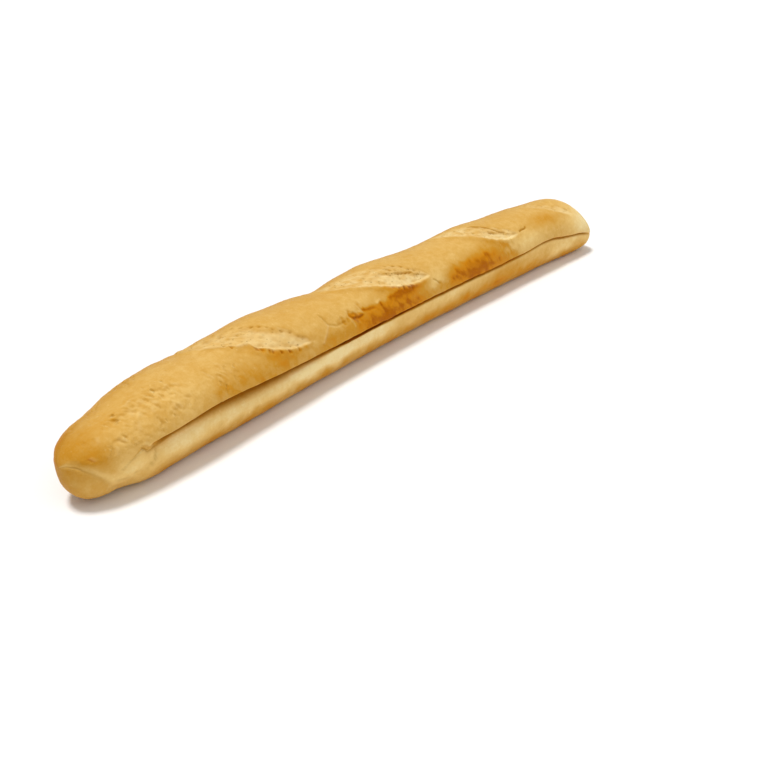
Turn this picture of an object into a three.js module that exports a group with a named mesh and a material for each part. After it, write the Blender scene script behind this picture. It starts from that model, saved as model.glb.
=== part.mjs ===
// A scored white baguette lying flat: a domed loaf over a lower roll, with a fold along each side.
// Millimetres, +X along the loaf from its blunt nose to its pale tip, +Z up, sole on Z = 0.

import * as THREE from 'three';
import { mergeVertices } from 'three/addons/utils/BufferGeometryUtils.js';

const { degToRad, smoothstep } = THREE.MathUtils;

// Driving dimensions of the loaf
const LENGTH = 563;
const WIDTH = 60;
const HEIGHT = 54;

// How the loaf narrows and lowers from nose to tip, as a share of its size at mid length
const WIDTH_TAPER = 0.061;
const HEIGHT_TAPER = 0.037;

// How squarely each end is rounded off, in plan, over the crown and under the sole: higher is blunter
const NOSE_ROUNDING = { plan: 7.4, crown: 5.5, sole: 30 };
const TIP_ROUNDING = { plan: 57, crown: 7.4, sole: 38 };

// Sideways bow of the centre line towards -Y at both ends, its skew from end to end,
// and a last bend of the tip the same way
const BOW = 12.4;
const SKEW = 1.7;
const TIP_BEND = 1.3;
const TIP_BEND_POWER = 12;

// Section: a dome above the fold, less square near the tip, and a rounder roll below it
const DOME_POWER = 2.25;
const DOME_POWER_AT_TIP = 1.9;
const DOME_SLIMS_FROM = 200;
const DOME_SLIMS_TO = 270;
const ROLL_POWER = 2.75;
const ROLL_WIDTH_SHARE = 0.93;
const SOLE_SINK = 2.5;

// The sole lifts a little behind the chin, under the nose
const CHIN_NECK = 0.14;
const CHIN_NECK_AT = -252;
const CHIN_NECK_REACH = 15;

// The fold's height along the loaf: a nearly level run that rises at the nose
// and in a hump near each end, and droops at the tip
const FOLD_HEIGHT = 25.8;
const FOLD_FALL = 0.6;
const FOLD_HUMPS = [
  { x: -281, rise: 2.6, reach: 30 },
  { x: -180, rise: 3.3, reach: 40 },
  { x: 203, rise: 3.6, reach: 22 },
];
const TIP_DROOP = 11.4;
const TIP_DROOP_POWER = 9;

// The fold's groove: its depth as a share of the radius, and how far it opens up to the dome's crisp
// lip and down to the roll. It is deepest behind the nose, thins towards the tip and closes before it
const FOLD_DEPTH = 0.22;
const FOLD_OPENS_UP = degToRad(7);
const FOLD_LIP_POWER = 4;
const FOLD_OPENS_DOWN = degToRad(13);
const FOLD_STARTS_AT = -228;
const FOLD_FADE = 14;
const FOLD_TIP_SHARE = 0.4;
const FOLD_THINS_FROM = -80;
const FOLD_THINS_TO = 200;
const FOLD_CLOSES_FROM = 262;
const FOLD_CLOSES_TO = 280;

// The pinched crease that leaves the fold's end, dips below it and climbs over the nose
const CREASE_DEPTH = 0.06;
const CREASE_OPENS = degToRad(10);
const CREASE_LOWEST_AT = -256;
const CREASE_LOWEST = degToRad(44);
const CREASE_AT_NOSE = degToRad(-25);
const CREASE_REACH_TO_NOSE = 16;
const CREASE_REACH_TO_BODY = 30;

// Slashes across the dome, from the far flank to the near one: middle along X, distance of the
// middle from the crown line towards -Y, length, width, and angle to the loaf's axis
const SLASHES = [
  { x: -138, across: 3, length: 115, width: 26, turn: degToRad(41) },
  { x: -4, across: 7.5, length: 112, width: 26, turn: degToRad(24.5) },
  { x: 126, across: 8.5, length: 90, width: 20, turn: degToRad(32) },
  { x: 228, across: 9.5, length: 56, width: 9, turn: degToRad(39) },
];
const DOME_ARC = 30;
const BED_DEPTH = 2.4;
const BED_WALL = 5;
const LIP_HEIGHT = 1.2;
const LIP_REACH = 4;

// Oven spring: the dome swells at each slash, and necks in on the far flank where a slash begins
const SWELLINGS = [
  { x: -112, rise: 2.4, reach: 22 },
  { x: 12, rise: 2.4, reach: 22 },
  { x: 130, rise: 1.9, reach: 24 },
  { x: 257, rise: 5.9, reach: 24 },
];
const NECKS = [
  { x: -250, rise: -3.7, reach: 18 },
  { x: -172, rise: -2.2, reach: 15 },
  { x: -42, rise: -3.5, reach: 17 },
  { x: 70, rise: -0.7, reach: 24 },
  { x: 214, rise: -0.5, reach: 18 },
];
const NECK_FAR_SIDE = 0.8;
const NECK_CROWN = 0.55;

// Steps of the surface: round the dome, round the roll and along the loaf
const DOME_STEPS = 32;
const ROLL_STEPS = 20;
const LENGTH_STEPS = 112;
const FOLD_CROWDING = 0.45;
const END_CROWDING = 9;
const MERGE_DISTANCE = 1e-4;

// A hump of height 1 at offset 0: round at power 2, flatter on top and steeper sided at a higher one
function hump(offset, reach, power = 2) {
  return Math.exp(-(Math.abs(offset / reach) ** power));
}

// How full the loaf is at a station from -1 (nose) to 1 (tip): 1 along the body, 0 at the ends
function fullness(station, view) {
  const rounding = station < 0 ? NOSE_ROUNDING : TIP_ROUNDING;
  return Math.sqrt(Math.max(0, 1 - Math.abs(station) ** rounding[view]));
}

// Distance from the middle to a superellipse with half axes a and b, in the direction of angle
function superellipse(a, b, power, angle) {
  const across = Math.abs(Math.cos(angle) / a) ** power;
  const upright = Math.abs(Math.sin(angle) / b) ** power;
  return (across + upright) ** (-1 / power);
}

// Height of the folds above the sole's plane
function foldHeight(station) {
  const droop = TIP_DROOP * Math.max(0, station) ** TIP_DROOP_POWER;
  return FOLD_HEIGHT - FOLD_FALL * station + riseAt((station * LENGTH) / 2, FOLD_HUMPS) - droop;
}

// How far the centre line lies towards +Y
function bowedCentre(station) {
  const bend = TIP_BEND * Math.max(0, station) ** TIP_BEND_POWER;
  return -BOW * station ** 2 + SKEW * (station ** 3 - station) - bend;
}

// Angle below the horizontal, 0 along both folds and growing downwards on either side
function angleBelowFold(angle) {
  return Math.atan2(-Math.sin(angle), Math.abs(Math.cos(angle)));
}

// 0 on the plain nose, rising to 1 where the fold is fully formed
function foldBegins(x) {
  return smoothstep(x, FOLD_STARTS_AT - FOLD_FADE, FOLD_STARTS_AT + FOLD_FADE);
}

// How strongly the fold is formed: none on the plain nose, full behind it, less towards the tip
// and none at the very end
function foldStrength(x) {
  const thins = 1 - (1 - FOLD_TIP_SHARE) * smoothstep(x, FOLD_THINS_FROM, FOLD_THINS_TO);
  const closes = 1 - smoothstep(x, FOLD_CLOSES_FROM, FOLD_CLOSES_TO);
  return foldBegins(x) * thins * closes;
}

// Share of the radius that the fold's groove takes away
function foldGroove(station, angle) {
  const below = angleBelowFold(angle);
  const opening = below > 0 ? hump(below, FOLD_OPENS_DOWN) : hump(below, FOLD_OPENS_UP, FOLD_LIP_POWER);
  return FOLD_DEPTH * foldStrength((station * LENGTH) / 2) * opening;
}

// Share of the radius that the pinched crease round the nose takes away
function noseCrease(station, angle) {
  const x = (station * LENGTH) / 2;
  const reach = x < CREASE_LOWEST_AT ? CREASE_REACH_TO_NOSE : CREASE_REACH_TO_BODY;
  const dip = hump(x - CREASE_LOWEST_AT, reach);
  const path = CREASE_AT_NOSE + (CREASE_LOWEST - CREASE_AT_NOSE) * dip;
  const shows = 1 - foldBegins(x);
  return CREASE_DEPTH * shows * hump(angleBelowFold(angle) - path, CREASE_OPENS);
}

// Relief of one slash: a bed sunk below its near lip, and lips that stand proud on both edges
function slashRelief(slash, x, angle) {
  const dx = x - slash.x;
  const dy = DOME_ARC * (angle - Math.PI / 2) - slash.across;
  const along = dx * Math.cos(slash.turn) + dy * Math.sin(slash.turn);
  const over = dy * Math.cos(slash.turn) - dx * Math.sin(slash.turn);
  const taper = 1 - ((2 * along) / slash.length) ** 2;
  if (taper <= 0) {
    return 0;
  }
  const edge = (taper * slash.width) / 2;
  const inside = edge - Math.abs(over);
  const towardsLip = (over + edge) / (2 * edge);
  const bed = BED_DEPTH * taper * towardsLip * smoothstep(inside, 0, BED_WALL);
  const lip = LIP_HEIGHT * taper * hump(inside, LIP_REACH);
  return inside > 0 ? lip - bed : lip;
}

// Sum of rises along the loaf at x
function riseAt(x, rises) {
  return rises.reduce((sum, { x: middle, rise, reach }) => sum + rise * hump(x - middle, reach), 0);
}

// The dome's swelling at the slashes and its necks on the far flank, strongest at the crown
function ovenSpring(x, angle) {
  const farSide = Math.max(0, NECK_CROWN + NECK_FAR_SIDE * Math.cos(angle));
  return Math.sin(angle) * (riseAt(x, SWELLINGS) + farSide * riseAt(x, NECKS));
}

// Distance from the fold's middle to the crust, at a station and in the direction of angle
function crustRadius(station, angle) {
  const full = fullness(station, 'crown');
  if (full === 0) {
    return 0;
  }
  const x = (station * LENGTH) / 2;
  const fold = foldHeight(station);
  const halfWidth = (WIDTH / 2) * fullness(station, 'plan') * (1 - WIDTH_TAPER * station);
  const crown = (HEIGHT * (1 - HEIGHT_TAPER * station) - fold) * full;
  const lift = CHIN_NECK * hump(x - CHIN_NECK_AT, CHIN_NECK_REACH);
  const sole = (fold + SOLE_SINK) * fullness(station, 'sole') * (1 - lift);
  const rollShare = 1 - (1 - ROLL_WIDTH_SHARE) * foldStrength(x);
  const slims = smoothstep(x, DOME_SLIMS_FROM, DOME_SLIMS_TO);
  const domePower = DOME_POWER + (DOME_POWER_AT_TIP - DOME_POWER) * slims;
  const onDome = Math.sin(angle) >= 0;
  const plain = onDome
    ? superellipse(halfWidth, crown, domePower, angle)
    : superellipse(halfWidth * rollShare, sole, ROLL_POWER, angle);
  const grooves = foldGroove(station, angle) + noseCrease(station, angle);
  const folded = plain * (1 - grooves);
  if (!onDome) {
    return folded;
  }
  const cuts = SLASHES.reduce((sum, slash) => sum + slashRelief(slash, x, angle), 0);
  return folded + full * (ovenSpring(x, angle) + cuts);
}

// A point of the crust, with the sole pressed flat
function crustPoint(station, angle) {
  const radius = crustRadius(station, angle);
  return new THREE.Vector3(
    (station * LENGTH) / 2,
    bowedCentre(station) + radius * Math.cos(angle),
    Math.max(0, foldHeight(station) + radius * Math.sin(angle)),
  );
}

// Station of a ring, from tip to nose: even along the body and crowded over the rounded ends
function ringStation(ring) {
  const even = 1 - (2 * ring) / LENGTH_STEPS;
  return (END_CROWDING * even - even ** END_CROWDING) / (END_CROWDING - 1);
}

// Angle of a step round the section, crowded at the two folds
function stepAngle(step) {
  const onDome = step < DOME_STEPS;
  const share = onDome ? step / DOME_STEPS : (step - DOME_STEPS) / ROLL_STEPS;
  const eased = share - (FOLD_CROWDING * Math.sin(2 * Math.PI * share)) / (2 * Math.PI);
  return Math.PI * (eased + (onDome ? 0 : 1));
}

// The loaf as a sphere whose poles are drawn out to the two ends
function loafGeometry() {
  const around = DOME_STEPS + ROLL_STEPS;
  const sphere = new THREE.SphereGeometry(1, around, LENGTH_STEPS);
  const places = sphere.getAttribute('position');
  for (let i = 0; i < places.count; i += 1) {
    const ring = Math.floor(i / (around + 1));
    const step = (i % (around + 1)) % around;
    const point = crustPoint(ringStation(ring), stepAngle(step));
    places.setXYZ(i, point.x, point.y, point.z);
  }
  sphere.deleteAttribute('normal');
  sphere.deleteAttribute('uv');
  const skin = mergeVertices(sphere, MERGE_DISTANCE);
  skin.computeBoundingBox();
  const middle = skin.boundingBox.getCenter(new THREE.Vector3());
  skin.translate(-middle.x, -middle.y, -skin.boundingBox.min.z);
  skin.computeVertexNormals();
  return skin;
}

const crust = new THREE.MeshStandardMaterial({ color: '#d7a351', roughness: 0.55, metalness: 0 });

const loaf = new THREE.Mesh(loafGeometry(), crust);
loaf.name = 'loaf';

const baguette = new THREE.Group();
baguette.name = 'baguette';
baguette.add(loaf);

export default baguette;
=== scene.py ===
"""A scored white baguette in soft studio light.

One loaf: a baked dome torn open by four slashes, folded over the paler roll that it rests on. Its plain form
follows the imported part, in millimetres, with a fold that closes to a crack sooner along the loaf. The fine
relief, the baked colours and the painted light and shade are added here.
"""

import json
import logging
import math
from collections.abc import Iterator
from dataclasses import dataclass, field
from enum import Enum
from typing import Any

import bpy
import numpy as np
from mathutils import Matrix, Vector
from numpy.typing import NDArray


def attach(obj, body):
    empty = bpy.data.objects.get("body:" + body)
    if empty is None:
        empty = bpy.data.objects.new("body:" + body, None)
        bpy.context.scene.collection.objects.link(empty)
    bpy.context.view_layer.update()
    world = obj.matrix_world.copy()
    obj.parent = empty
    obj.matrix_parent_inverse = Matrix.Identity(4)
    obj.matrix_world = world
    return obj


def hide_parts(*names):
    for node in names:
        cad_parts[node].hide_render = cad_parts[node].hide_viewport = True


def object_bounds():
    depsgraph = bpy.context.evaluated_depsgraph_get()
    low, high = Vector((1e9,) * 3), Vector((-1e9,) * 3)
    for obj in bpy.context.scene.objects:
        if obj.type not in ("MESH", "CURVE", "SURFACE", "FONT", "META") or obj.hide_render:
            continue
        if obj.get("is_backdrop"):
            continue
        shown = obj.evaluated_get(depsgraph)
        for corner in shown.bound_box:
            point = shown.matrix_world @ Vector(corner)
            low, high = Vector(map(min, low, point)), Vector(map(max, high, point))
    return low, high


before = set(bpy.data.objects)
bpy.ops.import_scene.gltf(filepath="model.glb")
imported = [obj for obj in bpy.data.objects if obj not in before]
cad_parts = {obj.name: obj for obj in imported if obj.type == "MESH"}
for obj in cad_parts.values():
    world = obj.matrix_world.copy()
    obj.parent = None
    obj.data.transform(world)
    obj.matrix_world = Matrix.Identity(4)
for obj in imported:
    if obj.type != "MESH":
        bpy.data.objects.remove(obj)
CAD_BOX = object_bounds()

MM = 0.001
LOG = logging.getLogger("baguette")

Array = NDArray[np.float64]
Spot = tuple[float, float]
Span = tuple[float, float]
Size = float | tuple[float, float, float]
Layers = tuple[tuple[float, Size], ...]


class CrustMap(Enum):
    """Names of the maps that the loaf's mesh carries for its finish and its painted shade, each from 0 to 1."""

    BROWNING = "browning"
    TEAR = "tear"
    # Painted shade: in the fold, creases, cracks, pits and dents, on the nose and crown and on slopes facing away from
    # the light.
    SHADE = "shade"
    PITTED = "pitted"
    WRINKLED = "wrinkled"


def hump(offset: Array | float, reach: Array | float, power: float = 2.0) -> Array:
    """Gives a hump of height 1 at offset 0.

    Args:
        offset: distance from the hump's middle.
        reach: distance at which the hump has sunk to about a third.
        power: 2 is round; higher is flatter on top and steeper sided.
    Returns:
        The hump's height at each offset.
    """
    return np.exp(-(np.abs(offset / reach) ** power))


def smooth_step(value: Array, low: float, high: float) -> Array:
    """Rises smoothly from 0 at low to 1 at high, or falls where high is below low.

    Args:
        value: where to read the step.
        low: value at which the step is 0.
        high: value at which the step is 1.
    Returns:
        The step's height at each value.
    """
    share = np.clip((value - low) / (high - low), 0.0, 1.0)
    return share * share * (3.0 - 2.0 * share)


def blend(start: Array | float, end: Array | float, share: Array) -> Array:
    """Goes from start where the share is 0 to end where it is 1."""
    return start + (end - start) * share


def turned(x: Array | float, arc: Array | float, turn: float) -> tuple[Array | float, Array | float]:
    """Turns offsets on the crust into offsets along a slanting run and square to it, or back with the turn below 0.

    Args:
        x: offsets along the loaf.
        arc: offsets round it.
        turn: the run's slant from +X towards the near side, in degrees.
    Returns:
        The offsets along the run and over it.
    """
    slant = math.radians(turn)
    return x * math.cos(slant) + arc * math.sin(slant), arc * math.cos(slant) - x * math.sin(slant)


def linear_rgba(hex_colour: str) -> tuple[float, float, float, float]:
    """Turns an sRGB hex colour into linear light.

    Args:
        hex_colour: such as "#d7a351".
    Returns:
        Red, green, blue and a full alpha.
    """
    shares = [int(hex_colour[i : i + 2], 16) / 255 for i in (1, 3, 5)]
    red, green, blue = (s / 12.92 if s <= 0.04045 else ((s + 0.055) / 1.055) ** 2.4 for s in shares)
    return red, green, blue, 1.0


def add_node(tree: bpy.types.NodeTree, kind: str, inputs: dict[str | int, Any], **settings: Any) -> bpy.types.Node:
    """Adds one shader node with its settings and links.

    Args:
        tree: the node tree that takes the node.
        kind: the node's type, such as "ShaderNodeTexNoise".
        inputs: for a socket's name or number, a plain value or the output socket that feeds it.
        settings: the node's own properties.
    Returns:
        The new node.
    """
    node = tree.nodes.new(kind)
    for name, value in settings.items():
        setattr(node, name, value)
    for socket, value in inputs.items():
        if isinstance(value, bpy.types.NodeSocket):
            tree.links.new(value, node.inputs[socket])
        else:
            node.inputs[socket].default_value = value
    return node


class DoughNoise:
    """Smooth seeded unevenness through space, about -1 to 1, so that no seam shows round the loaf."""

    CELLS = 256
    GAIN = 1.6

    def __init__(self, seed: int) -> None:
        """Draws the noise's slopes.

        Args:
            seed: fixes the draw.
        """
        draw = np.random.default_rng(seed)
        self.order = draw.permutation(self.CELLS)
        slopes = draw.normal(size=(self.CELLS, 3))
        self.slopes = slopes / np.linalg.norm(slopes, axis=1, keepdims=True)

    def at(self, places: Array, size: Size) -> Array:
        """Reads the noise.

        Args:
            places: points in millimetres, with X, Y and Z last.
            size: width of one lump in millimetres, the same each way or one for each axis.
        Returns:
            The noise at each point.
        """
        scaled = places / np.asarray(size)
        cell = np.floor(scaled).astype(int)
        inner = scaled - cell
        eased = inner**3 * (inner * (inner * 6 - 15) + 10)
        total = np.zeros(places.shape[:-1])
        for corner in np.ndindex(2, 2, 2):
            i, j, k = np.moveaxis((cell + corner) % self.CELLS, -1, 0)
            picked = self.order[(self.order[(self.order[i] + j) % self.CELLS] + k) % self.CELLS]
            slope = ((inner - corner) * self.slopes[picked]).sum(-1)
            total += slope * np.where(np.array(corner) == 1, eased, 1 - eased).prod(-1)
        return total * self.GAIN

    def layered(self, places: Array, size: float, layers: int) -> Array:
        """Adds ever finer and weaker layers of noise.

        Args:
            places: points in millimetres.
            size: width of the coarsest lumps.
            layers: how many layers, each half as wide and half as strong as the one before.
        Returns:
            The summed noise at each point.
        """
        return sum(self.at(places, size / 2**n) / 2**n for n in range(layers))

    def mix(self, places: Array, layers: Layers) -> Array:
        """Adds noises of several strengths and sizes.

        Args:
            places: points in millimetres.
            layers: for each noise, its strength and the width of its lumps.
        Returns:
            The summed noise at each point.
        """
        return sum(strength * self.at(places, size) for strength, size in layers)


@dataclass(frozen=True)
class Rise:
    """A round swelling along the loaf, or a neck where its height is below zero."""

    x: float
    rise: float
    reach: float

    def at(self, x: Array) -> Array:
        """Gives the swelling's height along the loaf."""
        return self.rise * hump(x - self.x, self.reach)


@dataclass(frozen=True)
class Fade:
    """Something that comes in from its start, is full at its end and stays so."""

    strength: float
    start: float
    full: float

    def at(self, place: Array) -> Array:
        """Gives its strength at each place."""
        return self.strength * smooth_step(place, self.start, self.full)


@dataclass(frozen=True)
class EndRounding:
    """How squarely an end is rounded off in plan, over the crown and under the sole."""

    plan: float
    crown: float
    sole: float


@dataclass
class LoafForm:
    """The loaf's form: polar sections about the folds' height, from the nose at -X to the tip at +X, and the painted
    shadow under the fold's lip.
    """

    length: float = 563.0
    width: float = 60.0
    height: float = 54.0
    width_taper: float = 0.061
    height_taper: float = 0.037
    nose: EndRounding = EndRounding(plan=7.4, crown=5.5, sole=30.0)
    tip: EndRounding = EndRounding(plan=57.0, crown=7.4, sole=38.0)
    bow: float = 12.4
    skew: float = 1.7
    tip_bend: float = 1.3
    tip_bend_power: float = 12.0
    dome_power: float = 2.25
    dome_power_at_tip: float = 1.9
    dome_slims_from: float = 200.0
    dome_slims_to: float = 270.0
    roll_power: float = 2.75
    roll_width_share: float = 0.93
    sole_sink: float = 2.5
    chin_neck: Rise = Rise(x=-252, rise=0.14, reach=15)
    fold_level: float = 25.8
    fold_fall: float = 0.6
    fold_humps: tuple[Rise, ...] = (Rise(-281, 2.6, 30), Rise(-180, 3.3, 40), Rise(203, 3.6, 22))
    tip_droop: float = 11.4
    tip_droop_power: float = 9.0
    fold_depth: float = 0.22
    fold_opens_up: float = math.radians(3.4)
    fold_opens_down: float = math.radians(13.0)
    fold_lifts: float = math.radians(2.6)
    crack_opens: float = math.radians(1.9)
    fold_lip_power: float = 5.0
    fold_starts: float = -228.0
    fold_fade: float = 14.0
    fold_tip_share: float = 0.4
    fold_thins_from: float = -80.0
    fold_thins_to: float = 200.0
    roll_meets_from: float = -150.0
    roll_meets_to: float = -50.0
    fold_closes_from: float = 256.0
    fold_closes_to: float = 278.0
    shadow_full: float = math.radians(4.2)
    crack_shadow_full: float = math.radians(0.6)
    shadow_reach: float = math.radians(10.5)
    crack_shadow_reach: float = math.radians(3.2)
    shadow_opens_from: float = -224.0
    shadow_opens_to: float = -158.0
    shadow_thins_from: float = -150.0
    shadow_thins_to: float = -70.0
    shadow_power: float = 1.5
    shadow_lip: float = 0.6
    shadow_lip_soft: float = 0.4
    crack_shadow_share: float = 0.8
    fold_wander: float = 0.8
    open_wander_share: float = 0.35
    wander_mm: float = 26.0
    wander_layers: int = 3
    wander_sides_apart: float = 40.0
    crease_depth: float = 0.06
    crease_opens: float = math.radians(10.0)
    crease_lowest_at: float = -256.0
    crease_lowest: float = math.radians(44.0)
    crease_at_nose: float = math.radians(-25.0)
    crease_reach_to_nose: float = 16.0
    crease_reach_to_body: float = 30.0
    dome_arc: float = 30.0
    swellings: tuple[Rise, ...] = (Rise(-112, 2.4, 22), Rise(12, 2.4, 22), Rise(130, 1.9, 24), Rise(257, 5.9, 24))
    necks: tuple[Rise, ...] = (
        Rise(-250, -3.7, 18),
        Rise(-172, -2.2, 15),
        Rise(-42, -3.5, 17),
        Rise(70, -0.7, 24),
        Rise(214, -0.5, 18),
    )
    neck_crown: float = 0.55
    neck_far_side: float = 0.8

    def station(self, x: Array) -> Array:
        """Gives the place along the loaf from -1 at the nose to 1 at the tip."""
        return 2.0 * x / self.length

    def arc(self, angle: Array) -> Array:
        """Gives the distance round the section from the crown, growing towards the near side at -Y."""
        return self.dome_arc * (angle - math.pi / 2)

    def fullness(self, x: Array, nose: float, tip: float) -> Array:
        """Tells how full the loaf is: 1 along the body and 0 at the ends.

        Args:
            x: places along the loaf.
            nose: how squarely the nose is rounded off.
            tip: how squarely the tip is rounded off.
        Returns:
            The fullness at each place.
        """
        station = self.station(x)
        power = np.where(station < 0, nose, tip)
        return np.sqrt(np.maximum(1e-12, 1.0 - np.abs(station) ** power))

    def fold_height(self, x: Array) -> Array:
        """Gives the folds' height above the sole."""
        station = self.station(x)
        droop = self.tip_droop * np.maximum(0.0, station) ** self.tip_droop_power
        return self.fold_level - self.fold_fall * station + sum(h.at(x) for h in self.fold_humps) - droop

    def bowed_centre(self, x: Array) -> Array:
        """Gives how far the centre line lies towards +Y."""
        station = self.station(x)
        bend = self.tip_bend * np.maximum(0.0, station) ** self.tip_bend_power
        return -self.bow * station**2 + self.skew * (station**3 - station) - bend

    def fold_begins(self, x: Array) -> Array:
        """Rises from 0 on the plain nose to 1 where the fold is fully formed."""
        return smooth_step(x, self.fold_starts - self.fold_fade, self.fold_starts + self.fold_fade)

    def fold_thins(self, x: Array) -> Array:
        """Rises from 0 behind the nose to 1 where the fold is only a crack."""
        return smooth_step(x, self.fold_thins_from, self.fold_thins_to)

    def roll_meets(self, x: Array) -> Array:
        """Rises from 0 where the roll lies open below the fold to 1 where it meets the dome's lip."""
        return np.maximum(self.fold_thins(x), smooth_step(x, self.roll_meets_from, self.roll_meets_to))

    def fold_shows(self, x: Array) -> Array:
        """Is 1 where there is a fold, and 0 on the plain nose and where the fold has closed at the tip."""
        return self.fold_begins(x) * smooth_step(x, self.fold_closes_to, self.fold_closes_from)

    def fold_strength(self, x: Array) -> Array:
        """Tells how strongly the fold is formed along the loaf."""
        return self.fold_shows(x) * blend(1.0, self.fold_tip_share, self.fold_thins(x))

    def below_fold(self, angle: Array) -> Array:
        """Gives the angle below the folds, the same on either side."""
        return np.arctan2(-np.sin(angle), np.abs(np.cos(angle)))

    def fold_opening(self, x: Array, angle: Array, wander: Array) -> Array:
        """Tells how far open the fold is, from 1 at its root to 0 on the dome and the roll.

        Args:
            x: places along the loaf.
            angle: directions round the section.
            wander: how far the fold strays from its level run, in millimetres.
        Returns:
            The opening at each place.
        """
        below = self.below_fold(angle) + wander / self.dome_arc + self.fold_lifts * (1.0 - self.fold_thins(x))
        meets = self.roll_meets(x)
        upward = blend(self.fold_opens_up, self.crack_opens, meets)
        downward = blend(self.fold_opens_down, self.crack_opens, meets)
        return np.where(below > 0, hump(below, downward), hump(below, upward, self.fold_lip_power))

    def fold_shadow(self, x: Array, angle: Array, wander: Array) -> Array:
        """Gives the painted shadow under the fold's lip, from 1 under the lip to 0 on the roll.

        Args:
            x: places along the loaf.
            angle: directions round the section.
            wander: how far the fold strays from its level run, in millimetres.
        Returns:
            The darkness at each place.
        """
        thins = self.fold_thins(x)
        opens = smooth_step(x, self.shadow_opens_from, self.shadow_opens_to)
        opens = opens * smooth_step(x, self.shadow_thins_to, self.shadow_thins_from)
        below = self.below_fold(angle) + wander / self.dome_arc
        full = blend(self.shadow_full, self.crack_shadow_full, self.roll_meets(x))
        reach = blend(self.crack_shadow_reach, self.shadow_reach, opens)
        lip = -self.shadow_lip * self.crack_opens - self.fold_lifts * (1.0 - thins)
        inside = np.clip(1.0 - (below - full) / reach, 0.0, 1.0) ** self.shadow_power
        outside = hump(below - lip, self.shadow_lip_soft * self.crack_opens)
        return self.fold_shows(x) * blend(1.0, self.crack_shadow_share, thins) * np.where(below > lip, inside, outside)

    def nose_crease(self, x: Array, angle: Array) -> Array:
        """Gives the share of the radius that the pinched crease round the nose takes away.

        Args:
            x: places along the loaf.
            angle: directions round the section.
        Returns:
            The share taken at each place.
        """
        reach = np.where(x < self.crease_lowest_at, self.crease_reach_to_nose, self.crease_reach_to_body)
        dip = hump(x - self.crease_lowest_at, reach)
        path = blend(self.crease_at_nose, self.crease_lowest, dip)
        shows = 1.0 - self.fold_begins(x)
        return self.crease_depth * shows * hump(self.below_fold(angle) - path, self.crease_opens)

    def oven_spring(self, x: Array, angle: Array) -> Array:
        """Gives the dome's swelling at the slashes and its necks on the far flank.

        Args:
            x: places along the loaf.
            angle: directions round the section.
        Returns:
            The rise in millimetres.
        """
        far_side = np.maximum(0.0, self.neck_crown + self.neck_far_side * np.cos(angle))
        swells = sum(s.at(x) for s in self.swellings)
        necks = sum(n.at(x) for n in self.necks)
        return np.maximum(0.0, np.sin(angle)) * (swells + far_side * necks)

    def oval(self, across: Array, upright: Array, power: Array | float, angle: Array) -> Array:
        """Gives the distance from the middle to a superellipse.

        Args:
            across: half its width.
            upright: half its height.
            power: 2 is an ellipse; higher is squarer.
            angle: directions from the middle.
        Returns:
            The distance in each direction.
        """
        terms = np.abs(np.cos(angle) / across) ** power + np.abs(np.sin(angle) / upright) ** power
        return terms ** (-1.0 / power)

    def radius(self, x: Array, angle: Array, wander: Array) -> Array:
        """Gives the distance from the folds' middle to the crust.

        Args:
            x: places along the loaf.
            angle: directions round the section.
            wander: how far the fold strays from its level run, in millimetres.
        Returns:
            The distance in millimetres.
        """
        station = self.station(x)
        fold = self.fold_height(x)
        nose, tip = self.nose, self.tip
        full = self.fullness(x, nose.crown, tip.crown)
        half_width = self.width / 2 * self.fullness(x, nose.plan, tip.plan) * (1.0 - self.width_taper * station)
        crown = (self.height * (1.0 - self.height_taper * station) - fold) * full
        sole = (fold + self.sole_sink) * self.fullness(x, nose.sole, tip.sole) * (1.0 - self.chin_neck.at(x))
        strength = self.fold_strength(x)
        roll_width = half_width * blend(1.0, self.roll_width_share, strength)
        slims = smooth_step(x, self.dome_slims_from, self.dome_slims_to)
        dome_power = blend(self.dome_power, self.dome_power_at_tip, slims)
        dome = self.oval(half_width, crown, dome_power, angle)
        roll = self.oval(roll_width, sole, self.roll_power, angle)
        groove = self.fold_depth * strength * self.fold_opening(x, angle, wander)
        plain = np.where(np.sin(angle) >= 0, dome, roll)
        return plain * (1.0 - groove - self.nose_crease(x, angle)) + full * self.oven_spring(x, angle)


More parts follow.
